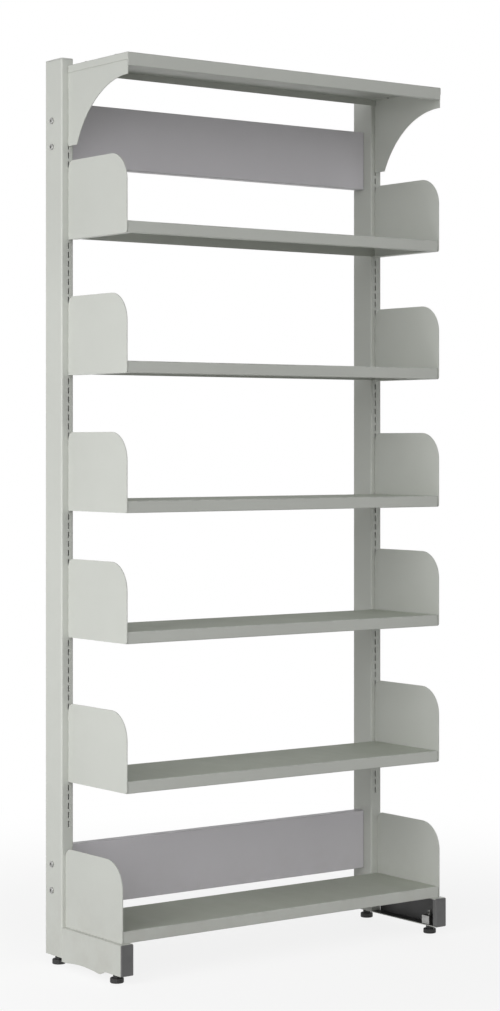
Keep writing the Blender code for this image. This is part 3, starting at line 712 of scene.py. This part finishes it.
def turned_foot(node):
    """A levelling foot with a scalloped pad and a hexagon collar, on its threaded stud."""
    low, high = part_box(node)
    pad = turned(foot_section(), FOOT_SIDES)
    rims = [point for point in pad.verts if point.co.xy.length > FOOT_RADIUS - FOOT_ROUND / 2]
    reshape_ring(rims, flute)
    collar = [point for point in pad.verts if abs(point.co.xy.length - COLLAR_RADIUS) < MERGE]
    reshape_ring(collar, lambda point: COLLAR_RADIUS * hexagon(point))
    stud = turned(stud_section(), BOLT_SIDES)
    middle = (low + high) / 2
    for shape in (pad, stud):
        bmesh.ops.recalc_face_normals(shape, faces=shape.faces)
        bmesh.ops.translate(shape, verts=shape.verts, vec=(middle.x, middle.y, low.z))
    piece(node + "_turned", pad, node)
    piece(node + "_stud", stud, node, slot="zinc")


def run(edge, along):
    """How far an edge goes in a direction."""
    return abs((edge.verts[0].co - edge.verts[1].co).dot(along))


def start(edge, along):
    """How far out in a direction the nearer end of an edge is."""
    return min(point.co.dot(along) for point in edge.verts)


def moulded_cap(node, outward, corner):
    """A push-in cap: rounded rim, a shallow panel on its face and a plug behind."""
    low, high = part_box(node)
    along = Vector(outward)
    reach = max(low.dot(along), high.dot(along))
    back = along * (reach - CAP_THICKNESS)
    for axis in range(3):
        if along[axis] > 0:
            low[axis] = back[axis]
        elif along[axis] < 0:
            high[axis] = back[axis]
    shape = block(low, high)
    face = max(shape.faces, key=lambda item: item.calc_center_median().dot(along))
    under = min(shape.faces, key=lambda item: item.calc_center_median().dot(along))
    bmesh.ops.inset_region(shape, faces=[face], thickness=CAP_RIM)
    bmesh.ops.inset_region(shape, faces=[face], thickness=CAP_SLOPE, depth=-CAP_DISH)
    bmesh.ops.inset_region(shape, faces=[under], thickness=CAP_WALL)
    made = bmesh.ops.extrude_face_region(shape, geom=[under])["geom"]
    points = [item for item in made if isinstance(item, bmesh.types.BMVert)]
    bmesh.ops.translate(shape, verts=points, vec=along * -CAP_PLUG)
    bmesh.ops.delete(shape, geom=[under], context="FACES_ONLY")
    bmesh.ops.recalc_face_normals(shape, faces=shape.faces)

    def at_corner(edge):
        return abs(run(edge, along) - CAP_THICKNESS) < MERGE

    def on_face(edge):
        return is_crease(edge) and start(edge, along) > reach - MERGE

    ease(shape, at_corner, corner, CAP_CORNER_STEPS)
    ease(shape, on_face, CAP_EDGE, CAP_EDGE_STEPS)
    piece(node + "_moulded", shape, node)


def dress(node):
    """Makes the piece that takes the place of a CAD node."""
    if node.endswith("_tray"):
        folded_tray(node, TRAY_RISE, "tray_paint")
    elif node == "canopy":
        folded_tray(node, CANOPY_RISE)
    elif "_tie_bolt_" in node:
        turned_bolt(node, "tie", LEFT if node.startswith("left") else RIGHT)
    elif node.endswith("_bolt"):
        turned_bolt(node, "small", UP)
    elif node.endswith("_foot"):
        turned_foot(node)
    elif node.endswith("_upright_cap"):
        moulded_cap(node, UP, UPRIGHT_CORNER)
    elif node.endswith("_end_cap"):
        moulded_cap(node, TO_READER, LEG_CORNER)
    elif node.endswith("_foot_insert"):
        eased_copy(node, offset=INSERT_EASED)
    elif node.endswith("_leg"):
        eased_copy(node, "leg_paint")
    else:
        eased_copy(node)


for rack_node in sorted(frame["nodes"]):
    dress(rack_node)


def make_camera():
    """The reader's view, held level."""
    data = bpy.data.cameras.new("reader_camera")
    data.lens = CAMERA_LENS
    data.shift_x, data.shift_y = CAMERA_SHIFT
    camera = bpy.data.objects.new("reader_camera", data)
    camera.location = CAMERA_PLACE
    camera.rotation_euler = (math.radians(90), 0.0, CAMERA_YAW)
    bpy.context.scene.collection.objects.link(camera)
    bpy.context.scene.camera = camera


def make_soft_light(name, place, size, power):
    """An area lamp aimed at the rack's middle. Only its light is seen."""
    data = bpy.data.lights.new(name, "AREA")
    data.shape = "RECTANGLE"
    data.size, data.size_y = size
    data.energy = power
    lamp = bpy.data.objects.new(name, data)
    lamp.location = place
    lamp.rotation_euler = (Vector(LIGHT_AIM) - Vector(place)).to_track_quat("-Z", "Y").to_euler()
    lamp.visible_camera = False
    lamp.visible_glossy = place[1] < 0.0  # the lamp behind the rack leaves no glare on the trays
    bpy.context.scene.collection.objects.link(lamp)


def greatest(nodes, links, values):
    """The greatest of several outputs, and never less than zero."""
    most = None
    for value in values:
        either = nodes.new("ShaderNodeMath")
        either.operation = "MAXIMUM"
        either.inputs[1].default_value = 0.0
        links.new(value, either.inputs[0])
        if most is not None:
            links.new(most, either.inputs[1])
        most = either.outputs["Value"]
    return most


def seen_directly(nodes, links):
    """One for rays that show the background: camera, glossy and transmission rays."""
    path = nodes.new("ShaderNodeLightPath")
    kinds = ("Is Camera Ray", "Is Glossy Ray", "Is Transmission Ray")
    return greatest(nodes, links, [path.outputs[kind] for kind in kinds])


def make_world():
    """A soft room, brightest on the reader's left, and plain white where it is seen."""
    world = bpy.data.worlds.new("white_room")
    bpy.context.scene.world = world
    world.use_nodes = True
    nodes, links = world.node_tree.nodes, world.node_tree.links
    direction = nodes.new("ShaderNodeTexCoord").outputs["Generated"]
    sides = []
    for side in (ROOM_LIGHT, ROOM_FILL):
        toward = nodes.new("ShaderNodeVectorMath")
        toward.operation = "DOT_PRODUCT"
        toward.inputs[1].default_value = side
        links.new(direction, toward.inputs[0])
        sides.append(toward.outputs["Value"])
    soft = nodes["Background"]
    soft.inputs["Color"].default_value = WHITE
    links.new(greatest(nodes, links, sides), soft.inputs["Strength"])
    white = nodes.new("ShaderNodeBackground")
    white.inputs["Color"].default_value = WHITE
    white.inputs["Strength"].default_value = WHITE_STRENGTH
    mix = nodes.new("ShaderNodeMixShader")
    links.new(seen_directly(nodes, links), mix.inputs["Fac"])
    links.new(soft.outputs["Background"], mix.inputs[1])
    links.new(white.outputs["Background"], mix.inputs[2])
    links.new(mix.outputs["Shader"], nodes["World Output"].inputs["Surface"])


def make_floor():
    """A pale floor that takes the rack's shadow and fades to white further out."""
    shape = bmesh.new()
    bmesh.ops.create_circle(shape, cap_ends=True, segments=FLOOR_SIDES, radius=FLOOR_RADIUS)
    mesh = bpy.data.meshes.new("pale_floor")
    shape.to_mesh(mesh)
    shape.free()
    floor = bpy.data.objects.new("pale_floor", mesh)
    bpy.context.scene.collection.objects.link(floor)
    finish = Finish("pale_floor")
    finish.shader.inputs["Roughness"].default_value = FLOOR_ROUGHNESS
    finish.shader.inputs["Specular IOR Level"].default_value = 0.0
    nodes, links = finish.nodes, finish.material.node_tree.links
    seen = seen_directly(nodes, links)
    finish.join(finish.blend(seen, FLOOR_BOUNCE, FLOOR_COLOUR), finish.shader, "Base Color")
    distance = finish.add("ShaderNodeVectorMath", {"operation": "LENGTH"})
    finish.join(finish.place, distance, 0)
    fade = (1.0 - FLOOR_SHADOW_SHARE, 1.0)
    plain = finish.span(distance.outputs["Value"], FLOOR_SHADOW_REACH, fade, "SMOOTHSTEP")
    glow = finish.add("ShaderNodeEmission", None, {"Color": WHITE, "Strength": WHITE_STRENGTH})
    mix = finish.add("ShaderNodeMixShader")
    links.new(finish.product(seen, plain), mix.inputs["Fac"])
    links.new(finish.shader.outputs["BSDF"], mix.inputs[1])
    links.new(glow.outputs["Emission"], mix.inputs[2])
    links.new(mix.outputs["Shader"], nodes["Material Output"].inputs["Surface"])
    mesh.materials.append(finish.material)


make_camera()
for soft_light in SOFT_LIGHTS:
    make_soft_light(*soft_light)
make_world()
make_floor()
bpy.context.scene.view_settings.view_transform = "Standard"
